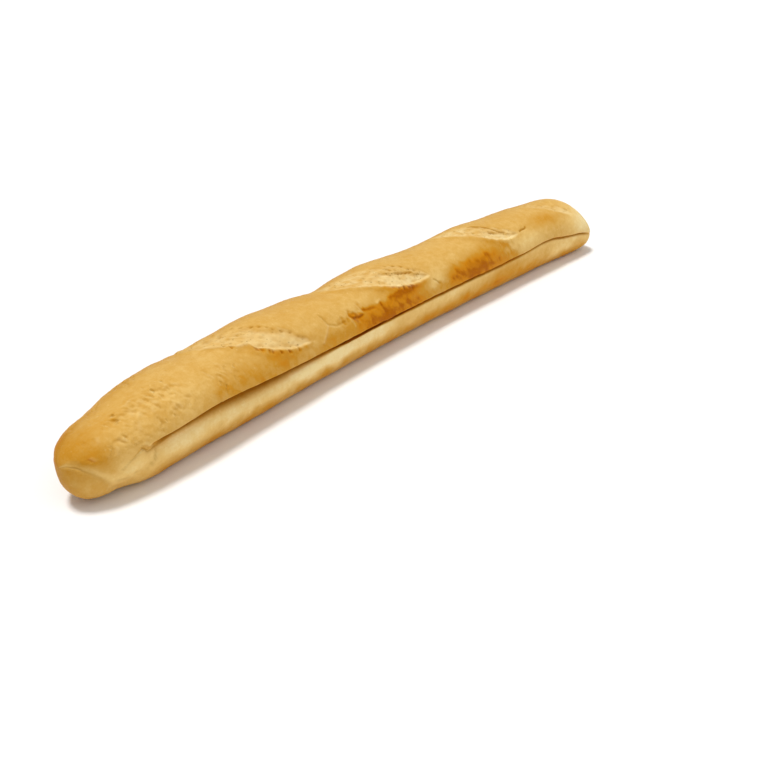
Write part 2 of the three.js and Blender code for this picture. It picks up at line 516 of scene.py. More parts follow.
@dataclass
class CrustGrid:
    """The loaf's surface as rings along it and steps round it, with its relief and its baked maps."""

    x: Array
    angle: Array
    arc: Array
    stroke_margin: float = 3.0
    relief: Array = field(init=False)
    maps: dict[CrustMap, Array] = field(init=False)

    def __post_init__(self) -> None:
        """Starts with a smooth, unbaked surface."""
        shape = (self.x.size, self.arc.size)
        self.relief = np.zeros(shape)
        self.maps = {name: np.zeros(shape) for name in CrustMap}

    def spots(self) -> tuple[Array, Array]:
        """Gives every point's X and arc, by ring and step."""
        x, arc = np.meshgrid(self.x, self.arc, indexing="ij")
        return x, arc

    def raise_map(self, name: CrustMap, values: Array) -> None:
        """Raises a map to the values that are above it."""
        self.maps[name] = np.maximum(self.maps[name], values)

    def window(self, spots: list[Spot], margin: float) -> tuple[slice, slice]:
        """Finds the rings and steps near some spots.

        Args:
            spots: places as X and arc.
            margin: how far round them to look.
        Returns:
            The rings' slice and the steps' slice.
        """
        xs, arcs = zip(*spots)
        rings = np.searchsorted(self.x, (min(xs) - margin, max(xs) + margin))
        steps = np.searchsorted(self.arc, (min(arcs) - margin, max(arcs) + margin))
        return slice(*rings), slice(*steps)

    def stroke(self, path: list[Spot], reach: float, lift: float, **marks: float) -> None:
        """Presses or raises a soft line, or a dot where the path is one spot, into the crust.

        Args:
            path: the line's spots as X and arc.
            reach: half its width.
            lift: its height, below zero for a dent.
            marks: strengths by the map's name, such as shade=0.3; browning adds to what is there.
        """
        rings, steps = self.window(path, self.stroke_margin * reach)
        x, arc = np.meshgrid(self.x[rings], self.arc[steps], indexing="ij")
        apart = np.full(x.shape, np.inf)
        for (x0, a0), (x1, a1) in zip(path, path[1:] or path):
            run, climb = x1 - x0, a1 - a0
            share = np.clip(((x - x0) * run + (arc - a0) * climb) / max(run**2 + climb**2, 1e-9), 0.0, 1.0)
            apart = np.minimum(apart, np.hypot(x - x0 - share * run, arc - a0 - share * climb))
        mark = hump(apart, reach)
        self.relief[rings, steps] += lift * mark
        for name, strength in marks.items():
            known = self.maps[CrustMap(name)]
            added = strength * mark
            if name == CrustMap.BROWNING.value:
                known[rings, steps] += added
            else:
                known[rings, steps] = np.maximum(known[rings, steps], added)


@dataclass(frozen=True)
class TornDough:
    """How dough tears under a slash, the same in all of them. Reaches, depths and layers are in millimetres."""

    # The torn bed and its edges
    lip_ragged: Layers = ((0.6, 7.0), (0.5, 2.6))
    upper_ragged: Layers = ((2.4, 9.0), (1.6, 4.5))
    least_taper: float = 0.2
    near_part: Span = (-0.1, 0.16)
    flap_ragged: Layers = ((0.03, 5.0),)
    flap_soft: Span = (-0.05, 0.07)
    crumbs: Layers = ((0.45, 3.6), (0.25, 1.9))
    upper_depth: float = 0.15
    lipward_depth: float = 0.35
    bared_depth: float = 0.5
    lip_inner: float = 0.7
    # Its colours: cream under the flap, specks on the rest, a frayed rim and a scorched lip
    mottle: float = 0.6
    mottle_mm: float = 5.0
    mottle_layers: int = 3
    streaks: Layers = ((0.5, (10.0, 2.0, 1.0)),)
    cream: float = 0.78
    cream_ragged: Layers = ((0.65, 9.0),)
    cream_mottle: float = 0.6
    cream_most: float = 1.2
    cream_upper: float = 0.5
    speckle: float = 0.5
    speckle_mottle: float = 0.9
    speckle_least: float = -0.4
    speckle_near: float = 0.6
    fray: float = 0.65
    fray_ragged: Layers = ((1.3, 5.0),)
    fray_most: float = 1.1
    rim_inset: float = 1.0
    rim_reach: float = 1.6
    rim_power: float = 0.7
    rim_far: float = 0.8
    scorch_edge: Span = (0.6, -0.8)
    scorch_reach: float = 8.0
    # Its small marks, each drawn between two ends
    pit_along: Span = (-0.36, 0.4)
    pit_over: Span = (-0.7, 0.8)
    pit_depth: Span = (0.3, 0.8)
    pit_reach: Span = (0.5, 0.9)
    pit_shade: float = 0.6
    notch_inset: float = 0.2
    notch_slant: Span = (0.3, 1.8)
    notch_length: Span = (0.8, 2.4)
    notch_depth: float = 0.6
    notch_reach: Span = (0.5, 0.8)
    notch_shade: Span = (0.3, 0.7)
    notch_scorch: Span = (0.2, 0.45)
    notch_scorch_reach: Span = (0.7, 1.6)
    dot_run: Span = (0.4, 1.6)
    dot_fall: float = 0.4
    dot_reach: float = 0.6
    dot_depth: float = 0.6
    dot_shade: Span = (0.3, 0.6)
    dot_scorch: float = 0.1
    crack_reach: float = 0.55
    crack_depth: float = 0.9
    crack_shade: float = 0.55
    crack_scorch: float = 0.25


@dataclass(frozen=True)
class Slash:
    """One slash over the dome: a torn bed that sinks to a crisp near lip, soft along its upper edge.

    Along runs from its far end to its near one, and over from its upper edge to its near lip. The near part
    bares pale crumb below a flap of golden skin.
    """

    x: float
    across: float
    length: float
    width: float
    turn: float
    curl: float
    bed_depth: float
    flap: float
    paleness: float
    far_paleness: float
    scorch: float
    pits: int
    lip_dent: Rise = Rise(0.0, 0.0, 1.0)
    notches: tuple[float, ...] = ()
    dots: tuple[Spot, ...] = ()
    cracks: tuple[tuple[Spot, ...], ...] = ()
    lip_height: float = 0.9
    lip_wall: float = 1.6
    lip_reach: float = 4.0
    upper_wall: float = 6.0
    bluntness: float = 2.6
    dough: TornDough = TornDough()

    def curled(self, along: Array | float) -> Array:
        """Gives how far the slash curls back towards the crown at its near end."""
        return self.curl * np.maximum(0.0, 2.0 * along / self.length) ** 2

    def coordinates(self, x: Array, arc: Array) -> tuple[Array, Array]:
        """Turns places on the crust into the slash's own along and over.

        Args:
            x: places along the loaf.
            arc: distances from the crown.
        Returns:
            Along and over, in millimetres from the slash's curling middle line.
        """
        along, over = turned(x - self.x, arc - self.across, self.turn)
        return along, over + self.curled(along)

    def spot(self, along: float, over: float) -> Spot:
        """Finds a place on the crust from the slash's own along and over.

        Args:
            along: distance from the middle towards the near end.
            over: distance from the middle line towards the near lip.
        Returns:
            The place as X and arc.
        """
        x, arc = turned(along, over - float(self.curled(along)), -self.turn)
        return self.x + x, self.across + arc

    def taper(self, along: Array | float) -> Array:
        """Gives the slash's width along it as a share: full at the middle and none at the ends."""
        return np.maximum(0.0, 1.0 - np.abs(2.0 * along / self.length) ** self.bluntness)

    def lip_at(self, along: Array | float) -> Array:
        """Gives how far the near lip lies over the middle line."""
        return self.width / 2 * self.taper(along) - self.lip_dent.at(along)

    def cut(self, grid: CrustGrid, places: Array, noise: DoughNoise) -> None:
        """Tears the slash open in the crust.

        Args:
            grid: the crust that is cut.
            places: the crust's points in millimetres.
            noise: unevenness of the tear.
        """
        dough = self.dough
        along, over = self.coordinates(*grid.spots())
        taper = self.taper(along)
        edge = self.width / 2 * taper
        to_lip = self.lip_at(along) - over - noise.mix(places, dough.lip_ragged) * np.sqrt(taper)
        to_upper = edge + over + noise.mix(places, dough.upper_ragged) * taper
        here = (taper > 0) & (np.sin(grid.angle)[None, :] > 0)
        lipward = np.clip((over + edge) / np.maximum(2.0 * edge, 1e-6), 0.0, 1.0)
        near_end = smooth_step(along / self.length, *dough.near_part)
        bared = smooth_step(lipward + noise.mix(places, dough.flap_ragged) - self.flap, *dough.flap_soft)
        bared = blend(1.0, bared, near_end)
        wall = smooth_step(to_upper / np.maximum(dough.least_taper, taper), 0.0, self.upper_wall)
        wall = wall * smooth_step(to_lip, 0.0, self.lip_wall)
        depth = dough.upper_depth + dough.lipward_depth * lipward + dough.bared_depth * bared * near_end
        bed = (noise.mix(places, dough.crumbs) - self.bed_depth * depth) * np.sqrt(taper) * wall
        lip_reach = np.where(to_lip > 0, dough.lip_inner * self.lip_wall, self.lip_reach)
        lip = self.lip_height * np.sqrt(taper) * hump(to_lip, lip_reach)
        grid.relief += np.where(here, bed + lip, 0.0)

        streaks = noise.mix(np.stack([along, over, 0.0 * over], -1), dough.streaks)
        mottle = dough.mottle * noise.layered(places, dough.mottle_mm, dough.mottle_layers) + streaks
        broken = dough.cream + noise.mix(places, dough.cream_ragged) + dough.cream_mottle * mottle
        cream = np.clip(broken, 0.0, dough.cream_most) * blend(dough.cream_upper, 1.0, lipward) * bared * near_end
        speckled = dough.speckle + dough.speckle_mottle * np.maximum(dough.speckle_least, mottle)
        speckled = self.far_paleness * speckled * blend(1.0, dough.speckle_near, near_end)
        pale = wall * np.clip(np.maximum(self.paleness * cream, speckled), 0.0, 1.0)
        frayed = np.clip(dough.fray + noise.mix(places, dough.fray_ragged), 0.0, dough.fray_most)
        rim = self.paleness * hump(to_lip - dough.rim_inset, dough.rim_reach) * frayed
        rim = rim * taper**dough.rim_power * blend(dough.rim_far, 1.0, near_end)
        grid.raise_map(CrustMap.TEAR, np.where(here, np.maximum(pale, rim), 0.0))
        grid.raise_map(CrustMap.PITTED, np.where(here, wall, 0.0))
        scorched = smooth_step(to_lip, *dough.scorch_edge) * hump(to_lip, dough.scorch_reach)
        grid.maps[CrustMap.BROWNING] += np.where(here, self.scorch * scorched * near_end * np.sqrt(taper), 0.0)

    def pick(self, grid: CrustGrid, draw: np.random.Generator) -> None:
        """Adds the bed's pits, the notches in its near lip and the dots and cracks along its upper edge.

        Args:
            grid: the crust that is marked.
            draw: seeded source of the marks' sizes and of the pits' places.
        """
        dough = self.dough
        for _ in range(self.pits):
            along = draw.uniform(*dough.pit_along) * self.length
            over = draw.uniform(*dough.pit_over) * float(self.width / 2 * self.taper(along))
            depth = draw.uniform(*dough.pit_depth)
            grid.stroke([self.spot(along, over)], draw.uniform(*dough.pit_reach), -depth, shade=dough.pit_shade * depth)
        for along in self.notches:
            lip = float(self.lip_at(along))
            root, slant = self.spot(along, lip + dough.notch_inset), draw.uniform(*dough.notch_slant)
            path = [root, self.spot(along + slant, lip + draw.uniform(*dough.notch_length))]
            scorch_reach, scorch = draw.uniform(*dough.notch_scorch_reach), draw.uniform(*dough.notch_scorch)
            grid.stroke(path, scorch_reach, -dough.notch_depth, browning=scorch)
            reach, shade = draw.uniform(*dough.notch_reach), draw.uniform(*dough.notch_shade)
            grid.stroke(path, reach, -dough.notch_depth, shade=shade)
        for x, arc in self.dots:
            path = [(x, arc), (x + draw.uniform(*dough.dot_run), arc + dough.dot_fall)]
            shade = draw.uniform(*dough.dot_shade)
            grid.stroke(path, dough.dot_reach, -dough.dot_depth, shade=shade, browning=dough.dot_scorch)
        for crack in self.cracks:
            marks = {"shade": dough.crack_shade, "browning": dough.crack_scorch}
            grid.stroke(list(crack), dough.crack_reach, -dough.crack_depth, **marks)


@dataclass(frozen=True)
class Crease:
    """A fine crease in the crust, or a pale ridge where its lift is above zero."""

    path: tuple[Spot, ...]
    reach: float
    lift: float
    shade: float = 0.0
    tear: float = 0.0
    browning: float = 0.0

    def press(self, grid: CrustGrid) -> None:
        """Presses the crease into the crust."""
        grid.stroke(list(self.path), self.reach, self.lift, shade=self.shade, tear=self.tear, browning=self.browning)


@dataclass(frozen=True)
class BrownedBand:
    """A stretch of crust above the fold that the oven browned up to a ragged edge."""

    start: float
    end: float
    edge: float
    soft: float
    fade: float
    ragged: float
    strength: float
    uneven: float = 0.5
    least: float = 0.6
    fall: float = 11.0
    teeth: float = 0.6
    teeth_reach: float = 1.5

    def at(self, x: Array, arc: Array, streaks: Array) -> Array:
        """Gives the browning at places on the crust.

        Args:
            x: places along the loaf.
            arc: distances from the crown.
            streaks: unevenness of the heat, about -1 to 1.
        Returns:
            The browning at each place.
        """
        ragged_arc = arc + self.ragged * streaks
        rise = smooth_step(ragged_arc, self.edge, self.edge + self.soft)
        ends = smooth_step(x, self.start, self.start + self.fade) * smooth_step(x, self.end, self.end - self.fade)
        heat = blend(self.least, 1.0, hump(np.maximum(0.0, arc - self.edge), self.fall))
        at_edge = hump(ragged_arc - self.edge - self.soft, self.soft / 2 + self.teeth_reach)
        teeth = self.teeth * np.maximum(0.0, streaks) * at_edge
        return self.strength * rise * ends * (heat * (1.0 + self.uneven * streaks) + teeth)


@dataclass(frozen=True)
class BakedPatch:
    """A browner patch of crust, or a paler one where its strength is below zero."""

    x: float
    arc: float
    reach_x: float
    reach_arc: float
    strength: float

    def at(self, x: Array, arc: Array) -> Array:
        """Gives the patch's strength at places on the crust.

        Args:
            x: places along the loaf.
            arc: distances from the crown.
        Returns:
            The strength at each place.
        """
        return self.strength * hump(x - self.x, self.reach_x) * hump(arc - self.arc, self.reach_arc)


@dataclass(frozen=True)
class DriedSkin:
    """How the skin dries into creases and lumps, the same in every wrinkled stretch. Sizes are in millimetres."""

    crease_size: Size = (11.0, 4.8, 1.0)
    crease_bend: Layers = ((1.4, 6.0),)
    crease_half: float = 0.34
    crease_power: float = 1.5
    crease_depth: float = 0.5
    crease_shade: float = 0.1
    patch_mm: float = 11.0
    patch_layers: int = 2
    patch_edge: Span = (-0.3, 0.35)
    lump_bend: Layers = ((2.0, 8.0),)
    slanted_lumps: Layers = ((0.75, (6.5, 2.9, 1.0)),)
    round_lumps: Layers = ((0.5, 4.4), (0.25, 2.4))
    hollow_gain: float = 1.4
    top_gain: float = 0.7
    lump_height: float = 0.46
    least_lumpy: float = 0.3
    finish_gain: float = 1.3
    finish_by_depth: float = 0.7
    dent_spread: Span = (0.6, 0.45)
    dent_stray_deg: float = 25.0
    dent_half: Span = (0.8, 2.4)
    dent_reach: Span = (0.8, 1.1)
    dent_depth: float = 0.24
    ridge_apart: float = 1.7
    ridge_reach: Span = (1.0, 1.4)
    ridge_height: float = 0.16
    ridge_highlight: float = 0.1


@dataclass(frozen=True)
class WrinkleZone:
    """A stretch of crust that dried into a net of short slanting creases, with a few deeper dents."""

    x: float
    arc: float
    reach_x: float
    reach_arc: float
    turn: float
    depth: float
    dents: int
    skin: DriedSkin = DriedSkin()

    def press(self, grid: CrustGrid, places: Array, noise: DoughNoise, draw: np.random.Generator) -> None:
        """Presses the creases and the dents into the crust, with painted shade in the creases and a painted highlight
        on each dent's ridge.

        Args:
            grid: the crust that is marked.
            places: the crust's points in millimetres.
            noise: unevenness that the creases follow.
            draw: seeded source of the dents.
        """
        skin = self.skin
        x, arc = grid.spots()
        along, over = turned(x - self.x, arc - self.arc, self.turn)
        bent = np.stack([along, over + noise.mix(places, skin.crease_bend), 0.0 * over + self.x], -1)
        line = np.maximum(0.0, 1.0 - np.abs(noise.at(bent, skin.crease_size)) / skin.crease_half)
        window = hump(x - self.x, self.reach_x) * hump(arc - self.arc, self.reach_arc)
        patchy = smooth_step(noise.layered(places, skin.patch_mm, skin.patch_layers), *skin.patch_edge)
        creased = window * patchy * line**skin.crease_power
        slanted = np.stack([along, over, 0.0 * over - self.x], -1) + noise.mix(places, skin.lump_bend)[..., None]
        lumps = noise.mix(slanted, skin.slanted_lumps) + noise.mix(places, skin.round_lumps)
        lumps = np.where(lumps < 0, skin.hollow_gain, skin.top_gain) * lumps
        lumps = skin.lump_height * blend(skin.least_lumpy, 1.0, patchy) * lumps
        grid.relief += self.depth * window * (lumps - skin.crease_depth * creased)
        finish = np.clip(skin.finish_gain * window, 0.0, 1.0) * min(1.0, skin.finish_by_depth * self.depth)
        grid.raise_map(CrustMap.WRINKLED, finish * patchy)
        grid.raise_map(CrustMap.SHADE, skin.crease_shade * self.depth * creased)
        spread_x, spread_arc = skin.dent_spread
        for _ in range(self.dents):
            dent_x = draw.normal(self.x, spread_x * self.reach_x)
            dent_arc = draw.normal(self.arc, spread_arc * self.reach_arc)
            lean, half = math.radians(draw.normal(self.turn, skin.dent_stray_deg)), draw.uniform(*skin.dent_half)
            run, climb = math.cos(lean), math.sin(lean)
            path = [(dent_x + end * run, dent_arc + end * climb) for end in (-half, half)]
            ridge = [(px + skin.ridge_apart * climb, pa - skin.ridge_apart * run) for px, pa in path]
            grid.stroke(path, draw.uniform(*skin.dent_reach), -skin.dent_depth * self.depth)
            # Painted highlight: the ridge beside each dent is painted pale.
            pale = skin.ridge_highlight * self.depth
            grid.stroke(ridge, draw.uniform(*skin.ridge_reach), skin.ridge_height * self.depth, tear=pale)


@dataclass(frozen=True)
class BakedCrust:
    """Baked wheat crust: a thin glazed skin over dry crumb, dried and browned by oven heat.

    The eye sees a satin gold that deepens to amber where the heat caught it, and matt cream where the
    dough tore open or lay sheltered.
    """

    name: str = "baked_wheat_crust"
    browning_stops: tuple[tuple[float, str], ...] = (
        (0.0, "#f6dda0"),
        (0.2, "#ebc478"),
        (0.4, "#daaa57"),
        (0.6, "#d19531"),
        (0.8, "#d28714"),
        (1.0, "#b46504"),
    )
    crumb_cream: str = "#f2d79c"
    # The tint that multiplies in the painted shade
    shade_tint: str = "#b09927"
    gloss_tint: str = "#ffc070"
    gloss: float = 0.05
    skin_roughness: float = 0.45
    crumb_roughness: float = 0.8
    mottle_mm: float = 5.0
    mottle: float = 0.05
    grain_mm: float = 1.3
    grain: float = 0.03
    # Real pores are finer: drawn as coarse as they need to show.
    pore_mm: float = 0.55
    noise_detail: float = 3.0
    noise_roughness: float = 0.6
    noise_span: Span = (0.3, 0.7)
    pit_mm: float = 2.3
    pit_share: float = 0.28
    # Painted shade in the pits
    pit_painted_shade: float = 0.5
    pit_height: float = -2.0
    fleck_mm: float = 6.0
    fleck_share: float = 0.14
    fleck_browning: float = -0.1
    dent_mm: float = 3.4
    dent_share: float = 0.3
    dent_stretch: float = 1.9
    dent_bend_mm: float = 3.0
    dent_run: tuple[float, float, float] = (0.17, -0.78, -0.61)
    # Painted shade in the dents, browner in tone, and a painted highlight on the rim beside each
    dent_shade: float = 0.2
    dent_shade_browning: float = 0.08
    dent_height: float = -3.2
    rim_shift_mm: tuple[float, float, float] = (-1.1, -0.5, -0.4)
    rim_highlight: float = -0.19
    rim_height: float = 2.8
    dot_core: float = 0.4
    dots_kept: Span = (0.4, 0.65)
    bump_strength: float = 0.6
    bump_mm: float = 0.35

    def make(self) -> bpy.types.Material:
        """Builds the crust's material.

        Returns:
            The material, which reads the loaf's maps.
        """
        material = bpy.data.materials.new(self.name)
        material.use_nodes = True
        tree = material.node_tree
        tree.nodes.clear()
        place = add_node(tree, "ShaderNodeTexCoord", {}).outputs["Object"]
        maps = {
            name: add_node(tree, "ShaderNodeAttribute", {}, attribute_name=name.value).outputs["Fac"]
            for name in CrustMap
        }
        texture = {"Vector": place, "Detail": self.noise_detail, "Roughness": self.noise_roughness}
        noises = {
            size: add_node(tree, "ShaderNodeTexNoise", {**texture, "Scale": 1.0 / (size * MM)}).outputs["Fac"]
            for size in (self.mottle_mm, self.grain_mm, self.pore_mm)
        }
        low, high = self.noise_span
        mottle, grain = (
            add_node(
                tree,
                "ShaderNodeMapRange",
                {"Value": noises[size], "From Min": low, "From Max": high, "To Min": -uneven, "To Max": uneven},
            ).outputs[0]
            for size, uneven in ((self.mottle_mm, self.mottle), (self.grain_mm, self.grain))
        )
        flecks = self._dots(tree, place, self.fleck_mm, self.fleck_share)
        pits = self._dots(tree, place, self.pit_mm, self.pit_share)
        scale = 1.0 / (self.mottle_mm * MM)
        warp = add_node(tree, "ShaderNodeTexNoise", {"Vector": place, "Scale": scale}).outputs["Color"]
        strays = {0: warp, 1: (self.dent_bend_mm * MM,) * 3, 2: place}
        bent = add_node(tree, "ShaderNodeVectorMath", strays, operation="MULTIPLY_ADD").outputs[0]
        dents = self._dents(tree, bent, (0.0, 0.0, 0.0))
        rims = self._dents(tree, bent, self.rim_shift_mm)
        pits, dents, rims = (
            add_node(tree, "ShaderNodeMath", {0: marks, 1: maps[shown]}, operation="MULTIPLY").outputs[0]
            for marks, shown in ((pits, CrustMap.PITTED), (dents, CrustMap.WRINKLED), (rims, CrustMap.WRINKLED))
        )
        # The browning takes the painted highlight on the dents' rims and the browner tone of their painted shade; the
        # shade takes the painted shade of pits and dents.
        browning = (
            (mottle, 1.0),
            (grain, 1.0),
            (flecks, self.fleck_browning),
            (rims, self.rim_highlight),
            (dents, self.dent_shade_browning),
        )
        dark = ((pits, self.pit_painted_shade), (dents, self.dent_shade))
        heights = (
            (noises[self.pore_mm], 1.0),
            (pits, self.pit_height),
            (dents, self.dent_height),
            (rims, self.rim_height),
        )
        sums = []
        for total, layers in (
            (maps[CrustMap.BROWNING], browning),
            (maps[CrustMap.SHADE], dark),
            (noises[self.grain_mm], heights),
        ):
            for part, share in layers:
                terms = {0: part, 1: share, 2: total}
                total = add_node(tree, "ShaderNodeMath", terms, operation="MULTIPLY_ADD").outputs[0]
            sums.append(total)
        baked, shade, height = sums
        ramp = add_node(tree, "ShaderNodeValToRGB", {"Fac": baked})
        stops = ramp.color_ramp.elements
        stops[1].position = 1.0
        for position, _ in self.browning_stops[1:-1]:
            stops.new(position)
        for stop, (_, colour) in zip(stops, self.browning_stops):
            stop.color = linear_rgba(colour)
        # The colour mix has its share in socket 0, its colours in 6 and 7 and its result in output 2.
        colour = ramp.outputs["Color"]
        # The shade map's painted shade is multiplied in, in the shade tint.
        for share, tint, how in (
            (maps[CrustMap.TEAR], self.crumb_cream, "MIX"),
            (shade, self.shade_tint, "MULTIPLY"),
        ):
            mixed = {0: share, 6: colour, 7: linear_rgba(tint)}
            colour = add_node(tree, "ShaderNodeMix", mixed, data_type="RGBA", blend_type=how).outputs[2]
        drier = {"Value": maps[CrustMap.TEAR], "To Min": self.skin_roughness, "To Max": self.crumb_roughness}
        bumps = {"Height": height, "Strength": self.bump_strength, "Distance": self.bump_mm * MM}
        skin = add_node(
            tree,
            "ShaderNodeBsdfPrincipled",
            {
                "Base Color": colour,
                "Roughness": add_node(tree, "ShaderNodeMapRange", drier).outputs[0],
                "Normal": add_node(tree, "ShaderNodeBump", bumps).outputs[0],
                "Specular IOR Level": self.gloss,
                "Specular Tint": linear_rgba(self.gloss_tint),
            },
        )
        add_node(tree, "ShaderNodeOutputMaterial", {"Surface": skin.outputs["BSDF"]})
        return material

    def _dots(
        self, tree: bpy.types.NodeTree, place: bpy.types.NodeSocket, apart_mm: float, share: float
    ) -> bpy.types.NodeSocket:
        """Scatters small dots, leaving out about half of them.

        Args:
            tree: the material's node tree.
            place: the output with the points on the loaf.
            apart_mm: distance between dots.
            share: a dot's size as a share of that distance.
        Returns:
            The output that is 1 in a dot and 0 between dots.
        """
        cells = add_node(tree, "ShaderNodeTexVoronoi", {"Vector": place, "Scale": 1.0 / (apart_mm * MM)})
        spans = (("Distance", (share, self.dot_core * share)), ("Color", self.dots_kept))
        parts = [
            add_node(
                tree, "ShaderNodeMapRange", {"Value": cells.outputs[name], "From Min": low, "From Max": high}
            ).outputs[0]
            for name, (low, high) in spans
        ]
        return add_node(tree, "ShaderNodeMath", dict(enumerate(parts)), operation="MULTIPLY").outputs[0]

    def _dents(
        self, tree: bpy.types.NodeTree, place: bpy.types.NodeSocket, shift_mm: tuple[float, float, float]
    ) -> bpy.types.NodeSocket:
        """Scatters short slanting dents.

        Args:
            tree: the material's node tree.
            place: the output with the points on the loaf.
            shift_mm: how far all of them are moved.
        Returns:
            The output that is 1 in a dent and 0 between dents.
        """
        run = Vector((1.0, 0.0, 0.0)).rotation_difference(Vector(self.dent_run)).to_euler()
        shift, stretch = Vector(shift_mm) * MM, (self.dent_stretch, 1.0, 1.0)
        settings = {"Vector": place, "Location": shift, "Rotation": run, "Scale": stretch}
        slanted = add_node(tree, "ShaderNodeMapping", settings, vector_type="TEXTURE").outputs[0]
        return self._dots(tree, slanted, self.dent_mm, self.dent_share)


@dataclass(frozen=True)
class MattCard:
    """Matt white card: even and pale, with no gloss."""

    name: str = "matt_white_card"
    colour: str = "#fafafa"
    roughness: float = 0.95

    def make(self) -> bpy.types.Material:
        """Builds the card's material."""
        material = bpy.data.materials.new(self.name)
        material.use_nodes = True
        card = material.node_tree.nodes["Principled BSDF"]
        card.inputs["Base Color"].default_value = linear_rgba(self.colour)
        card.inputs["Roughness"].default_value = self.roughness
        return material


@dataclass(frozen=True)
class OvenHeat:
    """How the oven colours the loaf, from 0 for pale to 1 for dark, and the light and shade painted over it. Places and
    layers are in millimetres.
    """

    dome: float = 0.37
    dome_uneven: Layers = ((0.03, 60.0), (0.03, 16.0))
    pale_tip: Fade = Fade(-0.16, 236.0, 268.0)
    brown_nose: Fade = Fade(0.18, -250.0, -278.0)
    crown_rim: Fade = Fade(0.14, -6.0, -22.0)
    crown_rim_ends: Span = (-70.0, -36.0)
    streak_lean: float = 0.5
    streak_stretch: float = 0.6
    streak_bend: Layers = ((2.5, 7.0),)
    streaks: Layers = ((0.8, 8.0), (0.6, 4.0), (0.3, 2.0))
    far_shift: float = 34.0
    far_share: float = 0.65
    # Painted light and shade on the relief's slopes: paler where they face the key light, browner and shaded where they
    # face away
    leans_along: float = 0.4
    steepest_lean: float = 0.5
    slope_light_and_shade: float = -0.28
    lean_shade: float = 0.6
    lean_shade_from: float = 0.06
    # Painted shade on the nose's face and along the crown's far side
    nose_shade: Fade = Fade(0.2, -246.0, -279.0)
    crown_shade: Rise = Rise(-18.0, 0.12, 12.0)
    roll: float = 0.11
    roll_uneven: float = 0.06
    roll_uneven_mm: float = 18.0
    roll_layers: int = 2
    roll_tip: Fade = Fade(0.08, 170.0, 250.0)
    roll_from: float = math.radians(-2.0)
    roll_to: float = math.radians(4.0)
    foot: float = 0.42
    foot_uneven: Layers = ((0.2, 12.0),)
    foot_ragged: Layers = ((3.5, 14.0), (1.6, 6.0))
    foot_heights: Span = (18.0, 7.0)
    foot_at_tip: Fade = Fade(-0.6, 245.0, 275.0)
    # Painted shadow under the fold's lip, browner and shaded
    fold_shadow_browning: float = 0.5
    root_shade: float = 0.76


